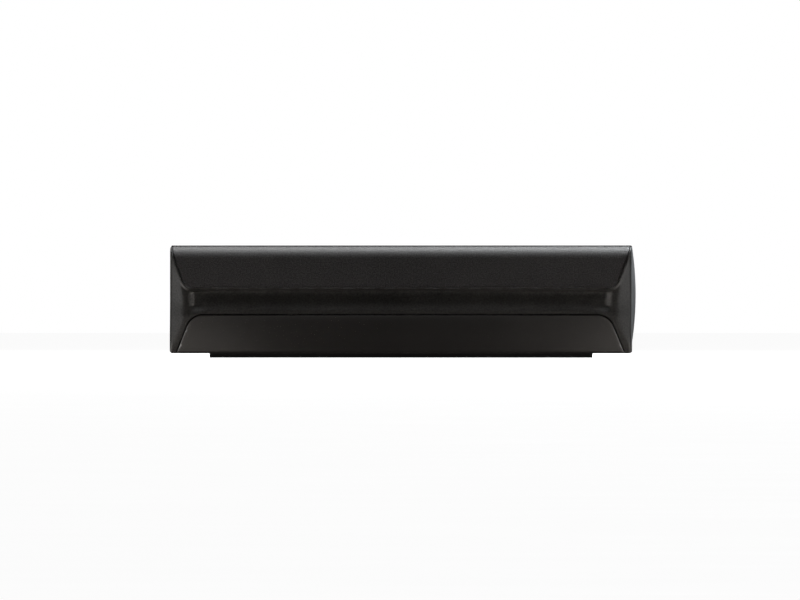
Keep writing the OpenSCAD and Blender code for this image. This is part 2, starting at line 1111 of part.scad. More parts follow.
front_bezel();
grille_frame();
grille_cloth();
lower_fascia();
top_deck();
left_end_cap();
right_end_cap();
rear_panel();
connector_bay();
bottom_tray();
front_foot();
rear_foot();
power_button();
source_button();
volume_down_button();
volume_up_button();
mute_button();
control_board();
tact_switches();
front_baffle();
left_divider();
right_divider();
left_basket();
right_basket();
left_magnet();
right_magnet();
left_yoke();
right_yoke();
left_spider();
right_spider();
left_voice_coil();
right_voice_coil();
left_cone();
right_cone();
left_dust_cap();
right_dust_cap();
left_surround();
right_surround();
left_radiator_frame();
right_radiator_frame();
left_radiator_surround();
right_radiator_surround();
left_radiator();
right_radiator();
main_board();
amplifier_chips();
heat_sink();
capacitors();
wireless_module();
hdmi_socket();
usb_socket();
optical_socket();
aux_socket();
dc_inlet();
indicator_board();
speaker_leads();
small_screws();
housing_screws();
wall_inserts();
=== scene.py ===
"""The soundbar's looks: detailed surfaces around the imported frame, then materials, lights and camera.

The object's own sizes are in millimetres, which build() turns into metres. The materials, the lights and the
camera are in metres.
"""

import json
import math

import bpy
import numpy as np
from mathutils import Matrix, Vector
from mathutils.geometry import delaunay_2d_cdt


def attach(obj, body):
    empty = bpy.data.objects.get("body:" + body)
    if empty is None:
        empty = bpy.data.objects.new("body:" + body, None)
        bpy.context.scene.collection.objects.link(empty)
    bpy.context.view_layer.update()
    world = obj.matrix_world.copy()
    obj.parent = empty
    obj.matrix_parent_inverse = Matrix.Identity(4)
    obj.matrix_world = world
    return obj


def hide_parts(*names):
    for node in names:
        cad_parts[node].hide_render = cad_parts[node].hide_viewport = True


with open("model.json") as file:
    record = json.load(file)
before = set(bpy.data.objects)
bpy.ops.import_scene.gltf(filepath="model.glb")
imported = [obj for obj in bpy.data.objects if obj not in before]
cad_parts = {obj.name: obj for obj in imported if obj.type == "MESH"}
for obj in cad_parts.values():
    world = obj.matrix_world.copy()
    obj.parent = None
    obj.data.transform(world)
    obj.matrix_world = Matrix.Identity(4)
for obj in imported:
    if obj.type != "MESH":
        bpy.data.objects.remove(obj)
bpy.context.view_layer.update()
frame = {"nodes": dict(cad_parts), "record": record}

MM = 0.001

# ---------------------------------------------------------------- materials


def blank_material(name):
    """A material with one principled shader: the material, its node tree and the shader."""
    m = bpy.data.materials.new(name)
    m.use_nodes = True
    nt = m.node_tree
    nt.nodes.clear()
    out = nt.nodes.new("ShaderNodeOutputMaterial")
    p = nt.nodes.new("ShaderNodeBsdfPrincipled")
    nt.links.new(p.outputs[0], out.inputs[0])
    return m, nt, p


def noise_node(nt, place, scale, detail, rough=0.5):
    n = nt.nodes.new("ShaderNodeTexNoise")
    n.inputs["Scale"].default_value = scale
    n.inputs["Detail"].default_value = detail
    n.inputs["Roughness"].default_value = rough
    nt.links.new(place, n.inputs["Vector"])
    return n.outputs[0]


def math_node(nt, op, *values):
    """One math node; each value is a number or another node's output."""
    n = nt.nodes.new("ShaderNodeMath")
    n.operation = op
    for i, v in enumerate(values):
        if isinstance(v, (int, float)):
            n.inputs[i].default_value = v
        else:
            nt.links.new(v, n.inputs[i])
    return n.outputs[0]


def tint(nt, p, base, tone):
    """Gives the shader the base colour times a tone near 1."""
    mix = nt.nodes.new("ShaderNodeMix")
    mix.data_type = "RGBA"
    mix.blend_type = "MULTIPLY"
    mix.inputs[0].default_value = 1.0
    mix.inputs[6].default_value = (*base, 1)
    nt.links.new(tone, mix.inputs[7])
    nt.links.new(mix.outputs[2], p.inputs["Base Color"])


def add_bump(nt, p, height, strength, depth):
    b = nt.nodes.new("ShaderNodeBump")
    b.inputs["Strength"].default_value = strength
    b.inputs["Distance"].default_value = depth
    nt.links.new(height, b.inputs["Height"])
    nt.links.new(b.outputs[0], p.inputs["Normal"])


def material(
    name,
    base,
    rough,
    speckle=0.1,
    grain=0.0004,
    bump=0.15,
    sheen=0.0,
    metallic=0.0,
    coat=0.0,
    wear=0.0,
    specular=0.5,
    rough_var=0.08,
    smudge=0.12,
    fine_rough=0.04,
):
    """A moulded or painted surface: broad tone drift, fine grain, rubbed edges, uneven gloss."""
    m, nt, p = blank_material(name)
    place = nt.nodes.new("ShaderNodeTexCoord").outputs["Object"]

    def ramp(src, a, b, lo=0.3, hi=0.7):
        r = nt.nodes.new("ShaderNodeMapRange")
        r.inputs["From Min"].default_value = lo
        r.inputs["From Max"].default_value = hi
        r.inputs["To Min"].default_value = a
        r.inputs["To Max"].default_value = b
        nt.links.new(src, r.inputs["Value"])
        return r.outputs[0]

    broad = noise_node(nt, place, 14, 4, 0.55)
    fine = noise_node(nt, place, 0.45 / grain, 2.5, 0.65)
    drift = ramp(broad, 1 - smudge, 1 + smudge)
    tone = math_node(nt, "MULTIPLY", drift, ramp(fine, 1 - speckle, 1 + speckle))
    if wear > 0:
        corners = nt.nodes.new("ShaderNodeNewGeometry").outputs["Pointiness"]
        edge = ramp(corners, 0.0, wear, 0.515, 0.60)
        patch = ramp(noise_node(nt, place, 160, 4, 0.55), 0.2, 1.0, 0.35, 0.65)
        tone = math_node(nt, "ADD", tone, math_node(nt, "MULTIPLY", edge, patch))
    tint(nt, p, base, tone)
    gloss = ramp(broad, rough - rough_var, rough + rough_var)
    nt.links.new(math_node(nt, "ADD", gloss, ramp(fine, -fine_rough, fine_rough)), p.inputs["Roughness"])
    add_bump(nt, p, fine, bump, grain * 0.5)
    p.inputs["Metallic"].default_value = metallic
    p.inputs["Sheen Weight"].default_value = sheen
    p.inputs["Sheen Roughness"].default_value = 0.4
    p.inputs["Coat Weight"].default_value = coat
    p.inputs["Coat Roughness"].default_value = 0.3
    p.inputs["Specular IOR Level"].default_value = specular
    return m


def cloth_material(name, base, pitch):
    """Plain weave from the UV map, which is laid out in metres of cloth; pitch is one thread."""
    m, nt, p = blank_material(name)
    uv_node = nt.nodes.new("ShaderNodeUVMap")
    uv_node.uv_map = "UVMap"
    uv = uv_node.outputs[0]
    across = nt.nodes.new("ShaderNodeSeparateXYZ")
    nt.links.new(uv, across.inputs[0])

    def calc(op, *values):
        return math_node(nt, op, *values)

    wander = noise_node(nt, uv, 160, 3)
    fibre = noise_node(nt, uv, 1000, 2)
    slub = noise_node(nt, uv, 30, 5)
    wobble = calc("MULTIPLY", calc("SUBTRACT", wander, 0.5), 1.2)

    def thread(axis):
        return calc("SINE", calc("ADD", calc("MULTIPLY", across.outputs[axis], math.pi / pitch), wobble))

    warp, weft = thread(0), thread(1)
    warp_over = calc("GREATER_THAN", calc("MULTIPLY", warp, weft), 0.0)
    weft_over = calc("SUBTRACT", 1.0, warp_over)
    height = calc(
        "ADD",
        calc("MULTIPLY", calc("ABSOLUTE", warp), warp_over),
        calc("MULTIPLY", calc("ABSOLUTE", weft), weft_over),
    )
    fibre_tone = calc("MULTIPLY_ADD", fibre, 6.4, -2.2)
    slub_tone = calc("MULTIPLY_ADD", slub, 0.5, 0.75)
    # painted shade: the cloth's colour is darker in the hollows between the threads than on their crowns,
    # following the weave's height
    weave_shade = calc("MULTIPLY_ADD", height, 0.55, 0.6)
    tint(nt, p, base, calc("MULTIPLY", weave_shade, calc("MULTIPLY", fibre_tone, slub_tone)))
    nt.links.new(calc("MULTIPLY_ADD", fibre, 0.2, 0.34), p.inputs["Roughness"])
    add_bump(nt, p, calc("ADD", height, calc("MULTIPLY", fibre, 0.4)), 0.3, pitch * 0.35)
    p.inputs["Sheen Weight"].default_value = 0.15
    p.inputs["Sheen Roughness"].default_value = 0.35
    p.inputs["Specular IOR Level"].default_value = 0.6
    return m


FINISHES = {
    "textured_plastic": dict(
        base=(0.019, 0.0182, 0.0174), rough=0.44, speckle=0.6, grain=0.0006, bump=0.6, wear=0.6, specular=0.34
    ),
    "satin_plastic": dict(
        base=(0.012, 0.0112, 0.0108),
        rough=0.25,
        speckle=0.03,
        grain=0.0003,
        bump=0.012,
        smudge=0.04,
        specular=0.9,
        rough_var=0.02,
        wear=0.4,
        fine_rough=0.004,
    ),
    "inner_plastic": dict(base=(0.04, 0.04, 0.042), rough=0.6, speckle=0.2, grain=0.0005, bump=0.3, wear=0.3),
    "rubber": dict(
        base=(0.0035, 0.0035, 0.0036),
        rough=0.8,
        speckle=0.25,
        grain=0.0005,
        bump=0.35,
        specular=0.15,
        wear=0.1,
    ),
    "board": dict(base=(0.018, 0.09, 0.04), rough=0.35, speckle=0.15, grain=0.001, bump=0.1, coat=0.3),
    "steel": dict(base=(0.56, 0.56, 0.57), rough=0.32, speckle=0.08, bump=0.1, metallic=1.0, wear=0.2),
    "black_steel": dict(
        base=(0.045, 0.045, 0.048), rough=0.38, speckle=0.15, grain=0.0003, bump=0.15, metallic=0.7, wear=2.0
    ),
    "ferrite": dict(base=(0.05, 0.05, 0.055), rough=0.6, speckle=0.3, grain=0.0006, bump=0.4),
    "copper": dict(base=(0.72, 0.33, 0.15), rough=0.35, speckle=0.12, grain=0.0003, bump=0.3, metallic=1.0),
    "paper": dict(base=(0.045, 0.04, 0.036), rough=0.85, speckle=0.4, grain=0.0006, bump=0.5, sheen=0.2),
    "alloy": dict(base=(0.72, 0.72, 0.74), rough=0.35, speckle=0.08, bump=0.12, metallic=1.0, wear=0.2),
    "brass": dict(
        base=(0.68, 0.48, 0.2), rough=0.35, speckle=0.12, grain=0.0003, bump=0.2, metallic=1.0, wear=0.3
    ),
    "ink": dict(base=(0.34, 0.34, 0.35), rough=0.6, grain=0.0002, bump=0.05),
}
M = {name: material(name, **finish) for name, finish in FINISHES.items()}
M["cloth"] = cloth_material("cloth", (0.0205, 0.0190, 0.0196), 0.00085)

# ---------------------------------------------------------------- outlines (mm)

HALF = 182.3  # widest half width, on the end caps
FRONT = 180.9  # half width of the front bezel
INNER = 175.9  # half width between the end caps
TOP, REAR = 88.0, 52.0
FOOT = 3.5  # underside of the body
SPLIT = -28.0  # plane where the bezel meets the end caps
CLOTH_END = -8.0  # where the cloth meets the top deck
LIP_Z, LIP_Y = 54.8, -50.0  # lower edge of the cloth opening
LEAN_DEG = 15  # the upper front leans back by this angle
LEAN = math.radians(LEAN_DEG)
TILT = math.tan(LEAN)
ROLL_R, ROLL_Z = 14.0, 74.0  # roll from the upper front to the top
ROLL_Y = LIP_Y + (ROLL_Z - LIP_Z) * TILT + ROLL_R / math.cos(LEAN)


def arc(cx, cy, r, a0, a1, n):
    """n steps of a circle, from angle a0 to a1 in degrees."""
    t = np.radians(np.linspace(a0, a1, n + 1))
    return np.c_[cx + r * np.cos(t), cy + r * np.sin(t)]


def densify(pts, step, closed=True):
    """Adds even points, so that no two neighbours are more than step apart."""
    pts = np.asarray(pts, float)
    out = []
    n = len(pts) if closed else len(pts) - 1
    for i in range(n):
        a, b = pts[i], pts[(i + 1) % len(pts)]
        k = max(1, int(math.ceil(np.linalg.norm(b - a) / step)))
        out.extend(a + (b - a) * j / k for j in range(k))
    if not closed:
        out.append(pts[-1])
    return np.array(out)


def circle(cx, cy, r, n=48):
    return arc(cx, cy, r, 0, 360, n)[:-1]


def rounded(x0, y0, x1, y1, r, n=6):
    """A rectangle with round corners."""
    return np.vstack(
        [
            arc(x1 - r, y0 + r, r, -90, 0, n),
            arc(x1 - r, y1 - r, r, 0, 90, n),
            arc(x0 + r, y1 - r, r, 90, 180, n),
            arc(x0 + r, y0 + r, r, 180, 270, n),
        ]
    )


# cloth opening: half width at the lip, its growth with height, and its lower corners
P_HALF, P_FLARE, P_CORNER = 168.8, 0.385, 10.6
# above CURL_Z the opening's sides curl inwards
CURL_Z, CURL_SPAN, CURL = 79, 8, 0.0245
# lower fascia's opening: half width at its top, its growth downwards, its height and upper corners
F_HALF, F_FLARE, F_TOP, F_CORNER = 163.9, 0.404, 34.4, 14.6


def panel_side(z):
    """Half width of the cloth opening at height z."""
    return P_HALF + P_FLARE * (z - LIP_Z) - CURL * np.clip(z - CURL_Z, 0, CURL_SPAN) ** 2


def panel_corner(s=0.0):
    """Right corner of the cloth opening, s outside it, from the bottom edge to the side."""
    a = math.degrees(math.atan(P_FLARE))
    r = P_CORNER + s
    x0 = P_HALF + s * (1 / math.cos(math.radians(a)) - P_FLARE)
    k = r * math.tan(math.radians((90 - a) / 2))
    return arc(x0 - k, LIP_Z - s + r, r, -90, -a, 20)


def fascia_corner(s=0.0):
    """Right upper corner of the fascia, s inside the opening, with its half width and its height."""
    a = math.degrees(math.atan(F_FLARE))
    r = F_CORNER - s
    z1 = F_TOP - s
    x0 = F_HALF - s * (1 / math.cos(math.radians(a)) - F_FLARE)
    cx = x0 - r * math.tan(math.radians((90 - a) / 2))
    return arc(cx, z1 - r, r, a, 90, 18), x0, z1


def mirror_x(p):
    """The points on the other side of x = 0, in reverse order."""
    return np.asarray(p)[::-1] * [-1, 1]


# ---------------------------------------------------------------- front surface (mm)

# foremost band of the body, and how far and how fast the front goes back below it
NOSE_Y, NOSE_LOW, NOSE_TOP = -52.0, 34.0, 37.0
UNDERCUT, UNDERCUT_POWER = 7, 1.9


def soft_step(x, a, b):
    """0 below a, 1 above b, and smooth between them."""
    t = np.clip((x - a) / (b - a), 0, 1)
    return t * t * (3 - 2 * t)


def smooth_max(a, b, k):
    """The larger of a and b, blended over about k where they meet."""
    return 0.5 * (a + b + np.sqrt((a - b) ** 2 + k * k))


def front_y(z):
    """Plain front of the body at x = 0, before the cove."""
    z = np.asarray(z, float)
    low = NOSE_Y + UNDERCUT * (np.clip(NOSE_LOW - z, 0, None) / (NOSE_LOW - FOOT)) ** UNDERCUT_POWER
    mid = np.interp(z, [NOSE_TOP, LIP_Z], [NOSE_Y, LIP_Y])
    tilt = LIP_Y + (z - LIP_Z) * TILT
    roll = ROLL_Y - np.sqrt(np.clip(ROLL_R**2 - (z - ROLL_Z) ** 2, 0.0, None))
    up = np.where(z > ROLL_Z + ROLL_R * math.sin(LEAN), roll, tilt)
    return np.where(z <= NOSE_TOP, low, np.where(z < LIP_Z, mid, up))


COVE_D, COVE_LOW, COVE_TOP = 4.3, 36.9, 53.9  # the channel's depth and the heights of its two edges


def cove_section(samples=401, blur=7.0, reach=18):
    """The channel's section as height and depth from 0 to 1: a long slope in and a short way out."""
    t = np.linspace(0, 1, samples)
    depth = np.interp(
        t,
        [0, 0.06, 0.16, 0.3, 0.45, 0.6, 0.74, 0.86, 0.94, 0.98, 1],
        [0, 0.08, 0.24, 0.45, 0.66, 0.84, 0.97, 1.0, 0.86, 0.40, 0],
    )
    kernel = np.exp(-((np.arange(-reach, reach + 1) / blur) ** 2))
    return t, np.convolve(np.pad(depth, reach, mode="edge"), kernel / kernel.sum(), "valid")


SECTION_T, SECTION_D = cove_section()
# half widths between which the sharp section fills out, the floor ramps up, and the dip runs out
FILL, RAMP, DIP_END = (148, 160), (159.6, 167.2), (171.5, 176.0)
# heights between which the full section and the dip begin and end
FULL_LOW, FULL_TOP = (34.0, 41.5), (51.0, 55.8)
DIP_LOW, DIP_TOP, DIP_D = (31, 38), (53, 63), 1.3


def cove(x, z):
    """Depth of the channel: its floor ramps out near each end and leaves a shallow dip before the flap."""
    ax = np.abs(x)
    t = (z - COVE_LOW) / (COVE_TOP - COVE_LOW)
    sharp = COVE_D * np.interp(t, SECTION_T, SECTION_D, left=0, right=0)
    full = COVE_D * soft_step(z, *FULL_LOW) * (1 - soft_step(z, *FULL_TOP))
    dip = DIP_D * soft_step(z, *DIP_LOW) * (1 - soft_step(z, *DIP_TOP)) * (1 - soft_step(ax, *DIP_END))
    fill, wall = soft_step(ax, *FILL), soft_step(ax, *RAMP)
    return (sharp * (1 - fill) + full * fill) * (1 - wall) + dip * wall


FLAP_X, FLAP_SLOPE = 169.6, 0.7  # where a flap starts at the lip's depth, and how it slopes back
CREASE_Z, CREASE_R, CREASE = 45.0, 3, 0.0655


def fold_y(x, z):
    """The folded end flaps: two planes meeting in a very shallow crease at mid height."""
    h = z - CREASE_Z
    return LIP_Y + FLAP_SLOPE * (np.abs(x) - FLAP_X) + CREASE * (h - np.sqrt(h * h + CREASE_R**2))


def edge_drop(t, r):
    """How far an edge rounded by r falls away at a distance t from its end."""
    t = np.clip(t, 0, r)
    return r - np.sqrt(np.clip(r * r - (r - t) ** 2, 0, None))


def panel_run(z0, z1, n):
    """Right side of the cloth opening from height z0 to z1, as n points."""
    z = np.linspace(z0, z1, n)
    return np.c_[panel_side(z), z]


def panel_line():
    """Edge of the cloth opening, from over the top on the left to over the top on the right."""
    corner = panel_corner()
    side = panel_run(corner[-1, 1] + 1, TOP + 4, 40)
    return densify(np.vstack([mirror_x(side), mirror_x(corner), corner, side]), 0.8, False)


PANEL_LINE = panel_line()


def distance(points, line):
    """Shortest distance from each point to an open line of many short segments."""
    batch = 1500
    a, b = line[:-1], line[1:]
    d = b - a
    l2 = (d**2).sum(1)
    best = np.full(len(points), np.inf)
    for i in range(0, len(points), batch):
        p = points[i : i + batch, None, :]
        t = np.clip(((p - a) * d).sum(2) / l2, 0, 1)
        best[i : i + batch] = np.sqrt((((p - a) - t[..., None] * d) ** 2).sum(2).min(1))
    return best


FOLD_BLEND, FOLD_SOFT = 0.9, (34, 46)  # blend along the flap's inner edge, wider towards the foot
SETBACK, SETBACK_RUN, SETBACK_LOW = 0.3, (1.1, 3.2), (32, 42)  # the face steps back beside the lip
BEAD, BEAD_MORE, BEAD_RISE = 0.45, 0.6, 0.95  # lip bead: width, extra at the corners, rise per mm
BEAD_GAP, BEAD_END = 0.2, (168, 172)  # where the bead starts, and where the extra width ends
ROUND_OVER = 2.2  # rounding of the bezel's outer edge


def bezel_y(x, z):
    """Front of the bezel: the channel, the folded flaps and a raised bead round the cloth."""
    ax = np.abs(x)
    near = distance(np.c_[x, z], PANEL_LINE)
    y = front_y(z) + cove(x, z)
    y = smooth_max(y, fold_y(x, z), FOLD_BLEND + FOLD_BLEND * (1 - soft_step(z, *FOLD_SOFT)))
    y = y + SETBACK * soft_step(near, *SETBACK_RUN) * soft_step(z, *SETBACK_LOW)
    w = BEAD + BEAD_MORE * soft_step(ax, *FILL) * (1 - soft_step(ax, *BEAD_END))
    y = y - BEAD_RISE * np.clip(near - BEAD_GAP, 0, w) * (1 - soft_step(near, w + 0.3, w + 2.4))
    return y + edge_drop(FRONT - ax, ROUND_OVER)


# ---------------------------------------------------------------- plates


def inside(points, loop):
    """True for the points that lie inside a closed loop."""
    x, y = points[:, 0], points[:, 1]
    res = np.zeros(len(points), bool)
    a = np.asarray(loop)
    b = np.roll(a, -1, 0)
    for (x0, y0), (x1, y1) in zip(a, b):
        if y0 == y1:
            continue
        hit = (y0 > y) != (y1 > y)
        if hit.any():
            cross = x < (x1 - x0) * (y - y0) / (y1 - y0) + x0
            res ^= hit & cross
    return res


def shift(loop, d):
    """The loop moved d to the left of its direction."""
    p = np.asarray(loop, float)
    e0 = p - np.roll(p, 1, 0)
    e1 = np.roll(p, -1, 0) - p
    e0 /= np.linalg.norm(e0, axis=1)[:, None]
    e1 /= np.linalg.norm(e1, axis=1)[:, None]
    n0 = np.c_[-e0[:, 1], e0[:, 0]]
    n1 = np.c_[-e1[:, 1], e1[:, 0]]
    m = n0 + n1
    m /= np.clip(1 + (n0 * n1).sum(1), 0.35, None)[:, None]
    return p + d * m


def build(name, verts, faces, mat, body="housing", slot=None, uvs=None, replaces=()):
    """Makes one piece from points in mm, with its material, its body and the nodes it replaces."""
    me = bpy.data.meshes.new(name)
    me.from_pydata([tuple(v) for v in np.asarray(verts) * MM], [], faces)
    me.validate()
    for poly in me.polygons:
        poly.use_smooth = True
    if uvs is not None:
        layer = me.uv_layers.new(name="UVMap")
        idx = np.empty(len(me.loops), int)
        me.loops.foreach_get("vertex_index", idx)
        layer.data.foreach_set("uv", (np.asarray(uvs)[idx] * MM).ravel())
    o = bpy.data.objects.new(name, me)
    bpy.context.scene.collection.objects.link(o)
    o.data.materials.append(M[mat])
    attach(o, body)
    if replaces:
        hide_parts(*replaces)
    return o


def near_box(points, ring, margin=0.0):
    """True for the points in a ring's own box, widened by margin."""
    return ((points >= ring.min(0) - margin) & (points <= ring.max(0) + margin)).all(1)


def in_plate(points, rings):
    """True inside the first ring and outside all the others."""
    ok = inside(points, rings[0])
    for ring in rings[1:]:
        near = np.flatnonzero(near_box(points, ring))
        ok[near[inside(points[near], ring)]] = False
    return ok


GRID_SNAP = 0.45  # share of a step within which an even grid line gives way to an extra one
RING_CLEAR, CLEAR_STEP = 0.33, 1.2  # share of a step, or of this if it is less, kept clear along a ring


def grid_line(a, b, step, extra):
    """Even steps from a to b, with extra values in place of those they come close to."""
    v = np.linspace(a, b, max(2, int(round((b - a) / step)) + 1))
    extra = np.array(sorted(extra), float)
    if len(extra):
        keep = np.abs(v[:, None] - extra[None]).min(1) > step * GRID_SNAP
        v = np.sort(np.r_[v[keep], extra])
    return v


def grid_points(outer, rings, step, rows, cols):
    """Grid points of a plate, none of them too close to a ring."""
    lo, hi = outer.min(0), outer.max(0)
    us, vs = grid_line(lo[0], hi[0], step, cols), grid_line(lo[1], hi[1], step, rows)
    g = np.stack(np.meshgrid(us, vs), -1).reshape(-1, 2)
    g = g[in_plate(g, rings)]
    keep = np.ones(len(g), bool)
    for ring in rings:
        near = np.flatnonzero(near_box(g, ring, 1.0))
        d = distance(g[near], np.vstack([ring, ring[:1]]))
        keep[near[d < RING_CLEAR * min(step, CLEAR_STEP)]] = False
    return g[keep]


def triangulate(rings, grid):
    """Points and triangles of a plate, and the vertex that each of the rings' points became."""
    edges = []
    start = 0
    for ring in rings:
        n = len(ring)
        edges += [(start + i, start + (i + 1) % n) for i in range(n)]
        start += n
    out = delaunay_2d_cdt([Vector(p) for p in np.vstack(rings + [grid])], edges, [], 0, 1e-5)
    vertex = {}
    for i, sources in enumerate(out[3]):
        for j in sources:
            vertex[j] = i
    points = np.array([tuple(v) for v in out[0]])
    tris = np.array([f for f in out[2]], int)
    return points, tris[in_plate(points[tris].mean(1), rings)], vertex


LEDGE = 1.7  # how far an inner ledge reaches under the next piece


def plate(
    name,
    outer,
    holes,
    base,
    mat,
    thick,
    edge,
    step,
    rows=(),
    cols=(),
    flip=False,
    seg=4,
    wall=None,
    ledge=None,
    **kw,
):
    """A moulded panel with rounded edges. base(u, v) gives points and outward normals in mm.

    edge is the rounding of its edges and seg the number of steps in it; wall(q, points) places the
    back of the edge, which is otherwise thick deep; ledge(loop) says where an inner ledge follows.
    """
    loops = [np.asarray(outer, float)] + [np.asarray(h, float) for h in holes]
    signs = [1.0] + [-1.0] * len(holes)
    rings = [shift(loop, s * edge) for loop, s in zip(loops, signs)]
    flat, tris, vertex = triangulate(rings, grid_points(loops[0], rings, step, rows, cols))
    verts = [base(flat[:, 0], flat[:, 1])[0]]
    uvs = [flat]
    faces = [tuple(t) for t in tris]
    turns = np.linspace(0, math.pi / 2, seg + 1)[1:]
    steps = [(edge * (1 - math.sin(a)), edge * (1 - math.cos(a))) for a in turns] + [(0.0, None)]
    if ledge:
        steps.append((-LEDGE, None))
    count, first = len(flat), 0
    for loop, s in zip(loops, signs):
        n = len(loop)
        prev = [vertex[first + i] for i in range(n)]
        first += n
        for inset, depth in steps:
            q = shift(loop, s * inset)
            if inset < 0:
                q = np.where(ledge(loop)[:, None], q, loop)
            points, normals = base(q[:, 0], q[:, 1])
            if depth is not None:
                points = points - normals * depth
            elif wall:
                points = wall(q, points)
            else:
                points = points - normals * thick
            verts.append(points)
            uvs.append(q)
            cur = list(range(count, count + n))
            count += n
            for i in range(n):
                j = (i + 1) % n
                quad = (prev[i], cur[i], cur[j], prev[j])
                faces.append(quad if s > 0 else quad[::-1])
            prev = cur
    if flip:
        faces = [f[::-1] for f in faces]
    return build(name, np.vstack(verts), faces, mat, uvs=np.vstack(uvs), **kw)


def facing(n):
    """Normals for a flat plate: k copies of n."""
    n = np.array(n, float)
    return lambda k: np.tile(n, (k, 1))


FRONTWARD, REARWARD, DOWNWARD = facing((0, -1, 0)), facing((0, 1, 0)), facing((0, 0, -1))
FLIP = np.array([-1, 1])


def path(*parts):
    """Joins corner points with evenly spaced points along the straights between them."""
    pts = np.vstack([np.atleast_2d(q) for q in parts])
    return densify(pts, 1.25)


# ---------------------------------------------------------------- front bezel

BEZEL_TOP = 86.9
LOW_CORNER, TOP_CORNER = 2.2, 1.3  # radii of the bezel's outer corners
BEZEL_DEPTH, TRAY_Y = 3.2, -41.2  # depth of its inner edges, and where its lower edge meets the tray


def bezel_outline():
    """One loop: over the fascia's opening, up the right edge, round the cloth's opening, down the left."""
    fascia, fascia_half, fascia_top = fascia_corner()
    corner = panel_corner()
    foot_x = fascia_half + (fascia_top - FOOT) * F_FLARE
    low_arc = arc(FRONT - LOW_CORNER, FOOT + LOW_CORNER, LOW_CORNER, -90, 0, 7)
    top_arc = arc(FRONT - TOP_CORNER, BEZEL_TOP - TOP_CORNER, TOP_CORNER, 0, 90, 5)
    side = panel_run(corner[-1, 1] + 1, BEZEL_TOP, 24)
    return path(
        (-FRONT + LOW_CORNER, FOOT),
        (-foot_x, FOOT),
        fascia * FLIP,
        fascia[::-1],
        (foot_x, FOOT),
        low_arc,
        top_arc,
        side[::-1],
        corner[::-1],
        corner * FLIP,
        side * FLIP,
        top_arc[::-1] * FLIP,
        low_arc[1:][::-1] * FLIP,
    )


def bezel_base(u, v):
    return np.c_[u, bezel_y(u, v), v], FRONTWARD(len(u))


def bezel_wall(q, front):
    """Back of the bezel's edges: at the tray below, at the end caps outside, a set depth elsewhere."""
    w = front.copy()
    ax, z = np.abs(q[:, 0]), q[:, 1]
    w[:, 1] += BEZEL_DEPTH
    low = (z < FOOT + 0.3) & (ax < FRONT - LOW_CORNER - 0.3)
    w[low, 1] = TRAY_Y
    outside = ~low & ((ax > FRONT - LOW_CORNER - 0.1) | (z > BEZEL_TOP - 0.1))
    w[outside, 1] = SPLIT - 0.15
    w[:, 1] = np.maximum(w[:, 1], front[:, 1] + 0.02)
    return w


def bezel_ledge(loop):
    """Only the edges round the cloth and the fascia carry an inner ledge."""
    x, z = np.abs(loop[:, 0]), loop[:, 1]
    return (x < FRONT - LOW_CORNER - 0.4) & (z > FOOT + 0.3) & (z < 80)


# finer rows through the channel and the lip, and finer columns on the flaps
channel_rows = np.r_[np.arange(34.6, 52.6, 0.6), np.arange(52.8, 54.7, 0.2), np.arange(55.2, 66, 0.7)]
flap_cols = np.arange(155, 180.8, 0.7)
plate(
    "bezel",
    bezel_outline(),
    [],
    bezel_base,
    "textured_plastic",
    thick=BEZEL_DEPTH,
    edge=0.28,
    step=1.35,
    rows=channel_rows,
    cols=np.r_[-flap_cols, flap_cols],
    wall=bezel_wall,
    ledge=bezel_ledge,
    replaces=("front_bezel",),
)

# ---------------------------------------------------------------- lower fascia

FASCIA_GAP, FASCIA_FOOT = 0.8, 3.9
FASCIA_SINK, FASCIA_CROWN, CROWN_HALF = 0.3, 0.25, 172.0  # set back, and bowed forwards in the middle


def fascia_outline():
    """The fascia, a gap inside the bezel's opening."""
    corner, half, top = fascia_corner(FASCIA_GAP)
    foot_x = half + (top - FASCIA_FOOT) * F_FLARE
    return path((-foot_x, FASCIA_FOOT), (foot_x, FASCIA_FOOT), corner, corner[::-1] * FLIP)


def fascia_base(u, v):
    crown = -FASCIA_CROWN * (1 - (u / CROWN_HALF) ** 2)
    return np.c_[u, front_y(v) + FASCIA_SINK + crown, v], FRONTWARD(len(u))


plate(
    "fascia",
    fascia_outline(),
    [],
    fascia_base,
    "satin_plastic",
    thick=2.3,
    edge=0.75,
    step=1.6,
    replaces=("lower_fascia",),
)

# ---------------------------------------------------------------- cloth

CLOTH_SINK = 0.75  # the cloth lies this far under the plain front
CLOTH_GAP = 0.35  # gap between the cloth and the pieces round it
ROLL_STEPS = 40


def profile(d, y_end):
    """Section of the upper front, roll and top, d below the surface: lengths, points and normals."""
    r = ROLL_R - d
    y_t, z_t = ROLL_Y - r * math.cos(LEAN), ROLL_Z + r * math.sin(LEAN)
    pts = [(y_t - (z_t - LIP_Z) * TILT, LIP_Z), (y_t, z_t)]
    nor = [(-math.cos(LEAN), math.sin(LEAN))] * 2
    for t in np.linspace(180 - LEAN_DEG, 90, ROLL_STEPS)[1:]:
        c, s = math.cos(math.radians(t)), math.sin(math.radians(t))
        pts.append((ROLL_Y + r * c, ROLL_Z + r * s))
        nor.append((c, s))
    pts.append((y_end, TOP - d))
    nor.append((0, 1))
    pts, nor = np.array(pts), np.array(nor)
    length = np.r_[0, np.cumsum(np.linalg.norm(np.diff(pts, axis=0), axis=1))]
    return length, pts, nor


S, SP, SN = profile(CLOTH_SINK, CLOTH_END - CLOTH_GAP)


def s_at_z(z):
    """Length along the cloth's section at height z, on its front and roll."""
    return np.interp(z, SP[:-1, 1], S[:-1])


def s_at_y(y):
    """Length along the cloth's section at depth y, on its flat top."""
    return S[-1] - (SP[-1, 0] - y)


def cloth_base(u, v):
    y, z = np.interp(v, S, SP[:, 0]), np.interp(v, S, SP[:, 1])
    n = np.c_[np.zeros(len(u)), np.interp(v, S, SN[:, 0]), np.interp(v, S, SN[:, 1])]
    n /= np.linalg.norm(n, axis=1)[:, None]
    return np.c_[u, y, z], n


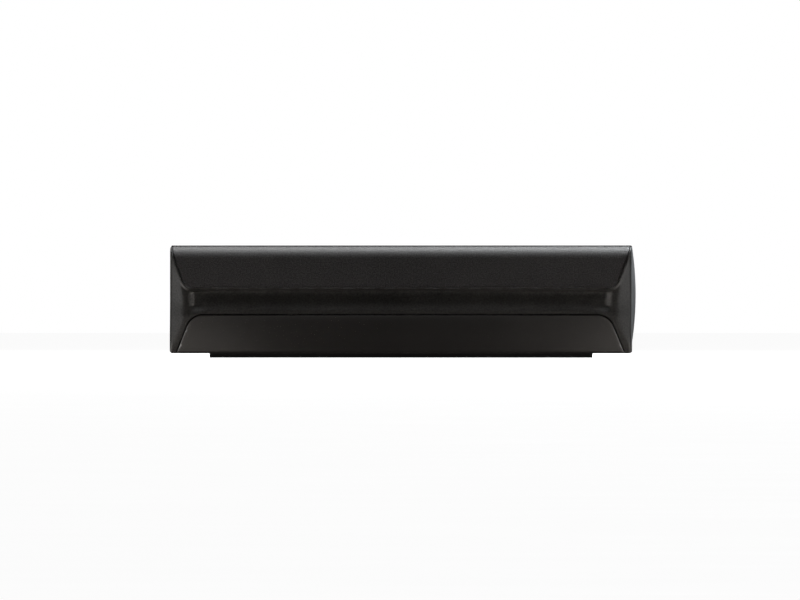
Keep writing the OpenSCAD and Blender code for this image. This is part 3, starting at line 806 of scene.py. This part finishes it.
def cloth_outline():
    """The cloth laid flat, as x and length: right edge upwards, stepped in behind the end cap, mirrored."""
    corner = panel_corner(-CLOTH_GAP)
    zs = np.linspace(68, TOP - 0.8, 30)  # from below the corner's end to just under the top
    zs = zs[zs > corner[-1, 1] + 0.5]
    side = np.c_[panel_side(zs) - 0.37, s_at_z(zs)]
    xe = side[-1, 0]
    step = [(xe, s_at_y(SPLIT - 1.6)), (xe - 0.8, s_at_y(SPLIT - 0.6)), (INNER + 0.4, s_at_y(SPLIT - 0.4))]
    step += [(INNER - CLOTH_GAP, s_at_y(SPLIT + 0.2)), (INNER - CLOTH_GAP, S[-1])]
    right = np.vstack([np.c_[corner[:, 0], s_at_z(corner[:, 1])], side, step])
    return densify(np.vstack([right, right[::-1] * FLIP]), 1.25)


cloth = plate(
    "cloth",
    cloth_outline(),
    [],
    cloth_base,
    "cloth",
    thick=1.3,
    edge=0.9,
    step=2.0,
    rows=np.linspace(S[1], S[ROLL_STEPS], 26),
    replaces=("grille_cloth",),
)

# ---------------------------------------------------------------- top deck

DECK_R, DECK_END = 5.0, 78.0  # rear rounding, and height of the deck's rear edge
BUTTONS = ["power_button", "source_button", "mute_button", "volume_down_button", "volume_up_button"]
BUTTON_PITCH, BUTTON_Y, BUTTON_HOLE = 22.0, 16.0, 6.35
RECESS_X, RECESS_Y, RECESS_D, RECESS_EDGE = 60.5, 10.5, 0.6, 0.9  # half sizes, depth, width of its slope


def deck_section():
    """Deck from the cloth over the rear edge, as rows of y, z and normal, with their lengths."""
    rows = [(CLOTH_END, TOP, 0, 1), (REAR - DECK_R, TOP, 0, 1)]
    for t in np.radians(np.linspace(90, 0, 16)[1:]):
        c, s = math.cos(t), math.sin(t)
        rows.append((REAR - DECK_R + DECK_R * c, TOP - DECK_R + DECK_R * s, c, s))
    rows.append((REAR, DECK_END, 1, 0))
    rows = np.array(rows)
    return np.r_[0, np.cumsum(np.linalg.norm(np.diff(rows[:, :2], axis=0), axis=1))], rows


DECK_S, DECK_ROWS = deck_section()
button_s = BUTTON_Y - CLOTH_END


def deck_base(u, v):
    y, z, ny, nz = (np.interp(v, DECK_S, column) for column in DECK_ROWS.T)
    n = np.c_[np.zeros(len(u)), ny, nz]
    n /= np.linalg.norm(n, axis=1)[:, None]
    across = soft_step(RECESS_X - np.abs(u), 0, RECESS_EDGE)
    dip = across * soft_step(RECESS_Y - np.abs(v - button_s), 0, RECESS_EDGE) * RECESS_D
    return np.c_[u, y, z] - n * dip[:, None], n


# finer rows and columns on the slopes of the buttons' recess
recess_rows = np.r_[13.3:14.9:0.3, 33.2:34.8:0.3]
recess_cols = np.r_[-60.6:-59:0.3, 59.4:60.9:0.3]
plate(
    "deck",
    densify([(-INNER, 0), (INNER, 0), (INNER, DECK_S[-1]), (-INNER, DECK_S[-1])], 2.2),
    [circle((i - 2) * BUTTON_PITCH, button_s, BUTTON_HOLE, 56) for i in range(5)],
    deck_base,
    "textured_plastic",
    thick=2.4,
    edge=0.35,
    step=2.6,
    rows=np.r_[recess_rows, DECK_S[1:-1:2]],
    cols=recess_cols,
    replaces=("top_deck",),
)

# ---------------------------------------------------------------- end caps

BOW_Z, BOW = 49.5, 500  # height of the widest line, and how flat the bow is
TAPER_Y, TAPER, TAPER_RUN = 2, 2.0, 50  # behind TAPER_Y a cap narrows by TAPER over TAPER_RUN
CAP_LOW_R, CAP_TOP_R = 3, 4


def cap_x(y, z):
    """Half width at an end cap: the bezel's at the front, bowed further back."""
    w = soft_step(y, SPLIT + 0.3, -2)
    taper = np.where(y < TAPER_Y, 0.0, TAPER * ((y - TAPER_Y) / TAPER_RUN) ** 2)
    return (FRONT - 0.1) * (1 - w) + (HALF - (z - BOW_Z) ** 2 / BOW - taper) * w


def end_cap(name, side):
    """One end cap; side is -1 on the left and 1 on the right."""

    def base(u, v):
        return np.c_[side * cap_x(u, v), u, v], facing((side, 0, 0))(len(u))

    def wall(q, surface):
        return np.c_[np.full(len(q), side * (INNER + 0.3)), surface[:, 1:]]

    y0, z0, z1 = SPLIT + 0.25, FOOT + 0.3, TOP - 0.05
    low_arc = arc(REAR - CAP_LOW_R, z0 + CAP_LOW_R, CAP_LOW_R, -90, 0, 7)
    top_arc = arc(REAR - CAP_TOP_R, z1 - CAP_TOP_R, CAP_TOP_R, 0, 90, 8)
    plate(
        name + "_cap",
        densify(np.vstack([low_arc, top_arc, [(y0, z1), (y0, z0)]]), 1.5),
        [],
        base,
        "textured_plastic",
        thick=5.4,
        edge=1.3,
        step=2.4,
        flip=side < 0,
        seg=6,
        wall=wall,
        replaces=(name + "_end_cap",),
    )


end_cap("right", 1)
end_cap("left", -1)

# ---------------------------------------------------------------- rear panel

RADIATOR_X, RADIATOR_Z = 118, 47
DISH_R, DISH_D, DISH_EDGE = 31.2, 0.9, 2.2  # shallow dish round each radiator's opening


def rear_holes():
    """Connector bay, radiators, wall bracket inserts, screws and vent slots."""
    holes = [densify(rounded(-62, 12, 62, 48, 3, 8), 3)]
    holes += [circle(sx * RADIATOR_X, RADIATOR_Z, 26, 96) for sx in (-1, 1)]
    holes += [circle(sx * 76, 60, 3.2, 32) for sx in (-1, 1)]
    holes += [circle(x, 73, 3.1, 28) for x in (-160, -80, -30, 30, 80, 160)]
    holes += [rounded(x - 1.2, 54, x + 1.2, 66, 1.19, 5) for x in range(-49, 50, 7)]
    return holes


def rear_base(u, v):
    dish = np.zeros(len(u))
    for sx in (-1, 1):
        r = np.hypot(u - sx * RADIATOR_X, v - RADIATOR_Z)
        dish += DISH_D * soft_step(DISH_R - r, 0, DISH_EDGE)
    return np.c_[u, REAR - dish, v], REARWARD(len(u))


plate(
    "rear",
    densify([(-INNER, 3.8), (INNER, 3.8), (INNER, 77.7), (-INNER, 77.7)], 2.2),
    rear_holes(),
    rear_base,
    "textured_plastic",
    thick=2.4,
    edge=0.35,
    step=2.6,
    rows=np.r_[14:78:1.3],
    cols=np.r_[-150:-86:1.3, 86:150:1.3],
    flip=True,
    replaces=("rear_panel",),
)

# ---------------------------------------------------------------- feet

FOOT_HALF, FOOT_MID = 150.0, 35.0  # half length of the front strip, and how far both are from y = 0
GROOVE_OFF, GROOVE_W, GROOVE_D = 1.8, 0.5, 0.8  # two grooves along a strip: offset, width, depth


def foot_base(u, v):
    """Underside of a foot strip with two grooves, which end before the strip does."""
    mid = np.where(v < 0, -FOOT_MID, FOOT_MID)
    groove = sum(np.exp(-(((v - mid - o) / GROOVE_W) ** 2)) for o in (-GROOVE_OFF, GROOVE_OFF))
    z = GROOVE_D * groove * soft_step(FOOT_HALF - np.abs(u), 1.5, 3.0)
    return np.c_[u, v, z], DOWNWARD(len(u))


for foot, y0, half in (("front_foot", -40, FOOT_HALF), ("rear_foot", 30, FOOT_HALF - 4.5)):
    plate(
        foot + "_pad",
        densify(rounded(-half, y0, half, y0 + 10, 2.0, 5), 2.5),
        [],
        foot_base,
        "rubber",
        thick=4.2,
        edge=0.4,
        step=2.5,
        rows=np.r_[y0 + 2.2 : y0 + 8 : 0.2],
        flip=True,
        replaces=(foot,),
    )

# ---------------------------------------------------------------- turned pieces


def revolve(name, profile_rz, mat, body, place, n=96, **kw):
    """Turns a closed (radius, height) outline; place maps its own x, y, z to the object's frame, in mm."""
    pr = np.asarray(profile_rz, float)
    m = len(pr)
    ang = np.linspace(0, 2 * math.pi, n, endpoint=False)
    v = np.array([(r * math.cos(a), r * math.sin(a), z) for a in ang for r, z in pr])
    f = []
    for i in range(n):
        k = (i + 1) % n
        for j in range(m):
            j2 = (j + 1) % m
            if pr[j, 0] < 1e-6 and pr[j2, 0] < 1e-6:
                continue
            f.append((i * m + j, k * m + j, k * m + j2, i * m + j2))
    return build(name, np.array([place(*p) for p in v]), f, mat, body=body, **kw)


def smooth_outline(pts, r=0.3, n=3):
    """Rounds every corner of a closed outline, apart from those on the axis."""
    p = np.asarray(pts, float)
    out = []
    for i in range(len(p)):
        a, b, c = p[i - 1], p[i], p[(i + 1) % len(p)]
        u, w = a - b, c - b
        lu, lw = np.linalg.norm(u), np.linalg.norm(w)
        if b[0] < 1e-6:
            out.append(b)
            continue
        d = min(r, 0.45 * lu, 0.45 * lw)
        p0, p1 = b + u / lu * d, b + w / lw * d
        for t in np.linspace(0, 1, n + 1):
            out.append((1 - t) ** 2 * p0 + 2 * t * (1 - t) * b + t * t * p1)
    return np.array(out)


for sx, side in ((-1, "left"), (1, "right")):

    def at_rear(x, y, z, sx=sx):
        return (sx * RADIATOR_X + x, 49.4 + z, RADIATOR_Z - y)

    disc = [(0, -6), (6, -6), (6, -3.7), (18.4, -3.7), (19, -3.2), (19, -2), (18, -1.3)]
    disc += [(15.5, -2.0), (13.4, -2.9), (7, -2.9), (5.4, -2.2), (3, -1.75), (0, -1.6)]
    revolve(
        side + "_radiator_disc",
        smooth_outline(disc, 0.5, 4),
        "satin_plastic",
        side + "_radiator",
        at_rear,
        replaces=(side + "_radiator",),
    )
    roll = arc(22.3, -3, 3, 180, 0, 24)
    back = arc(22.3, -3, 2.4, 0, 180, 24)
    revolve(
        side + "_radiator_roll",
        np.vstack([(19.3, -3.4), roll, (25.3, -3.4), (24.7, -3.4), back, (19.9, -3.4)]),
        "rubber",
        "housing",
        at_rear,
        replaces=(side + "_radiator_surround",),
    )

# ---------------------------------------------------------------- buttons

STROKE = 0.42
CAP_R = [0, 3, 4.6]  # a cap's face is a shallow dish: its height at these radii
CAP_Z = [87.7, 87.76, 87.86]
MARK_TOP, MARK_LOW = 0.03, 0.05  # a symbol stands this far out of the face and reaches this far in


def bar(x0, y0, x1, y1, w=STROKE):
    """A straight stroke as one quad."""
    d = np.array([x1 - x0, y1 - y0])
    n = np.array([-d[1], d[0]]) / np.linalg.norm(d) * w / 2
    a, b = np.array([x0, y0]), np.array([x1, y1])
    return [a - n, b - n, b + n, a + n]


def ring_part(r, a0, a1, w=STROKE, n=28):
    """A curved stroke as n quads."""
    o = arc(0, 0, r + w / 2, a0, a1, n)
    i = arc(0, 0, r - w / 2, a1, a0, n)
    return [(o[k], o[k + 1], i[n - k - 1], i[n - k]) for k in range(n)]


# plain symbols on the buttons, as quads about the button's centre
GLYPHS = {
    "power_button": ring_part(1.9, 125, 415) + [bar(0, 0.7, 0, 2.7)],
    "source_button": [bar(-2.4, 0, 0.7, 0), bar(-0.4, 1.1, 0.75, -0.05), bar(-0.4, -1.1, 0.75, 0.05)]
    + [bar(-0.2, 2.1, 2.2, 2.1), bar(2.2, 2.3, 2.2, -2.3), bar(-0.2, -2.1, 2.2, -2.1)],
    "mute_button": [
        [(-2.4, -0.7), (-1.4, -0.7), (-1.4, 0.7), (-2.4, 0.7)],
        [(-1.4, -0.7), (0.0, -1.8), (0.0, 1.8), (-1.4, 0.7)],
        bar(0.8, -0.8, 2.4, 0.8),
        bar(0.8, 0.8, 2.4, -0.8),
    ],
    "volume_down_button": [bar(-1.9, 0, 1.9, 0)],
    "volume_up_button": [bar(-1.9, 0, 1.9, 0), bar(0, -1.9, 0, 1.9)],
}

for i, name in enumerate(BUTTONS):
    bx, by = (i - 2) * BUTTON_PITCH, BUTTON_Y

    def at_button(x, y, z, bx=bx, by=by):
        return (bx + x, by + y, z)

    cap = [(0, 84.6), (6, 84.6), (6, 87.5), (5.82, 87.78), (5.5, 87.9)] + list(zip(CAP_R, CAP_Z))[::-1]
    revolve(name + "_cap", cap, "satin_plastic", name, at_button, n=72, replaces=(name,))
    verts, faces = [], []
    for quad in GLYPHS[name]:
        k = len(verts)
        q = np.array(quad, float)
        z = np.interp(np.hypot(q[:, 0], q[:, 1]), CAP_R, CAP_Z)
        verts += [(bx + a, by + b, c + MARK_TOP) for (a, b), c in zip(q, z)]
        verts += [(bx + a, by + b, c - MARK_LOW) for (a, b), c in zip(q, z)]
        faces += [(k, k + 1, k + 2, k + 3), (k + 7, k + 6, k + 5, k + 4)]
        faces += [(k + j, k + 4 + j, k + 4 + (j + 1) % 4, k + (j + 1) % 4) for j in range(4)]
    mark = build(name + "_mark", verts, faces, "ink", body=name, slot="satin_plastic")
    for poly in mark.data.polygons:
        poly.use_smooth = False

# ---------------------------------------------------------------- pieces kept from the frame

slots = {s["node"]: s.get("material_slot", "inner_plastic") for s in frame["record"]["subparts"]}
for node, obj in frame["nodes"].items():
    obj.data.materials.clear()
    obj.data.materials.append(M.get(slots[node], M["inner_plastic"]))

# width of the bevelled edge of each moulded or pressed piece, in mm
BEVEL = {
    "bottom_tray": 0.6,
    "connector_bay": 0.4,
    "hdmi_socket": 0.12,
    "usb_socket": 0.12,
    "optical_socket": 0.3,
    "aux_socket": 0.3,
    "dc_inlet": 0.3,
    "housing_screws": 0.15,
    "small_screws": 0.1,
    "wall_inserts": 0.2,
    "heat_sink": 0.2,
    "capacitors": 0.4,
    "grille_frame": 0.3,
    "left_radiator_frame": 0.4,
    "right_radiator_frame": 0.4,
}
for node, width in BEVEL.items():
    bev = frame["nodes"][node].modifiers.new("edge", "BEVEL")
    bev.width = width * MM
    bev.segments = 3
    bev.limit_method = "ANGLE"
    bev.angle_limit = math.radians(35)
    bev.harden_normals = False

# ---------------------------------------------------------------- stage, light and camera (m)

scene = bpy.context.scene
scene.view_settings.view_transform = "Standard"
scene.view_settings.look = "None"


def white_floor():
    """A white floor that only the camera sees, so that it throws nothing back on the object."""
    me = bpy.data.meshes.new("floor")
    me.from_pydata([(-12, -34, 0), (12, -34, 0), (12, 12, 0), (-12, 12, 0)], [], [(0, 1, 2, 3)])
    floor = bpy.data.objects.new("floor", me)
    scene.collection.objects.link(floor)
    mat = material("floor", (0.80, 0.80, 0.80), 0.7, speckle=0.01, grain=0.004, bump=0.01, smudge=0.01)
    shader = [n for n in mat.node_tree.nodes if n.type == "BSDF_PRINCIPLED"][0]
    shader.inputs["Emission Color"].default_value = (1, 1, 1, 1)
    shader.inputs["Emission Strength"].default_value = 0.95
    floor.data.materials.append(mat)
    floor.visible_diffuse = False
    floor.visible_glossy = False
    floor.visible_shadow = False


def studio_world(fill):
    """White to the camera, and a dim fill light to everything else."""
    world = bpy.data.worlds.new("studio")
    scene.world = world
    world.use_nodes = True
    nt = world.node_tree
    nt.nodes.clear()
    out = nt.nodes.new("ShaderNodeOutputWorld")
    mix = nt.nodes.new("ShaderNodeMixShader")
    light_path = nt.nodes.new("ShaderNodeLightPath")
    nt.links.new(light_path.outputs["Is Camera Ray"], mix.inputs[0])
    for i, (color, strength) in enumerate((((1.0, 0.99, 0.98, 1), fill), ((1, 1, 1, 1), 1.0))):
        background = nt.nodes.new("ShaderNodeBackground")
        background.inputs[0].default_value = color
        background.inputs[1].default_value = strength
        nt.links.new(background.outputs[0], mix.inputs[1 + i])
    nt.links.new(mix.outputs[0], out.inputs[0])


def softbox(name, loc, target, size, power, color=(1, 1, 1), spread=180):
    """A rectangular lamp at loc that faces target; power in watts, spread in degrees."""
    light = bpy.data.lights.new(name, "AREA")
    light.shape = "RECTANGLE"
    light.size, light.size_y = size
    light.energy = power
    light.color = color
    light.spread = math.radians(spread)
    o = bpy.data.objects.new(name, light)
    scene.collection.objects.link(o)
    o.location = loc
    o.rotation_euler = (Vector(target) - Vector(loc)).to_track_quat("-Z", "Y").to_euler()
    o.visible_camera = False


white_floor()
studio_world(0.012)

WARM, COOL = (1.0, 0.93, 0.86), (0.88, 0.95, 1.0)
# name: place, target, size, power, and where they aren't the usual ones, colour and spread
LIGHTS = {
    "over_mid": ((0.0, 0.00, 1.2), (0, 0, 0.05), (1.4, 0.6), 6.2),
    "over_back": ((0.0, 0.60, 1.1), (0, 0, 0.05), (1.4, 0.6), 11.0),
    "over_right": ((0.50, 0.50, 1.0), (0.1, 0, 0.05), (0.5, 0.6), 10.0, COOL),
    "left_side": ((-1.0, -0.06, 0.25), (0, 0, 0.05), (0.4, 0.5), 0.5),
    "right_side": ((1.0, -0.06, 0.25), (0, 0, 0.05), (0.4, 0.5), 0.7, COOL),
    "left_rear": ((-0.55, 1.00, 0.25), (0, 0, 0.05), (0.4, 0.4), 0.5),
    "right_rear": ((0.45, 1.00, 0.25), (0.1, 0, 0.05), (0.5, 0.5), 0.6, COOL),
    "left_front": ((-0.95, -0.36, -0.06), (-0.1, 0, 0.05), (0.4, 0.5), 2.1),
    "right_front": ((0.95, -0.36, -0.06), (0.1, 0, 0.05), (0.4, 0.5), 1.9),
    "left_wide": ((-0.62, -0.50, -0.24), (-0.16, 0, 0.04), (0.3, 0.4), 0.5, WARM),
    "right_wide": ((0.62, -0.50, -0.24), (0.16, 0, 0.04), (0.3, 0.4), 0.5, WARM),
    "left_under": ((-0.70, -0.14, -0.28), (-0.17, -0.04, 0.03), (0.3, 0.3), 1.6, WARM),
    "right_under": ((0.70, -0.14, -0.28), (0.17, -0.04, 0.03), (0.3, 0.3), 1.8, WARM),
    "left_card": ((-0.30, -0.50, -0.18), (-0.16, 0, 0.03), (0.22, 0.56), 0.30, WARM),
    "right_card": ((0.26, -0.50, -0.18), (0.16, 0, 0.03), (0.22, 0.56), 0.32, WARM),
    "left_kick": ((0.55, -0.47, 0.15), (-0.163, -0.05, 0.046), (0.12, 0.2), 0.017, WARM, 10),
    "right_kick": ((-0.55, -0.47, 0.15), (0.163, -0.05, 0.046), (0.12, 0.2), 0.017, WARM, 10),
    "front_card": ((-0.02, -0.60, 0.05), (0, 0, 0.03), (0.30, 0.08), 0.02),
}
for light_name, spec in LIGHTS.items():
    softbox(light_name, *spec)

CAMERA_TURN = math.radians(2.6)  # the camera stands a little to the right of straight ahead
CAMERA_DIST, CAMERA_END = 16.0, 60
VIEW_WIDTH = 0.62592  # what the camera sees from side to side at the object's front
SENSOR = 36
target = Vector((0.0, -0.052, 0.0452))
cam_data = bpy.data.cameras.new("camera")
cam_data.sensor_width = SENSOR
cam_data.lens = SENSOR * CAMERA_DIST / VIEW_WIDTH
cam_data.clip_end = CAMERA_END
cam = bpy.data.objects.new("camera", cam_data)
scene.collection.objects.link(cam)
cam.location = target + CAMERA_DIST * Vector((math.sin(CAMERA_TURN), -math.cos(CAMERA_TURN), 0))
cam.rotation_euler = (math.radians(90), 0, CAMERA_TURN)
scene.camera = cam
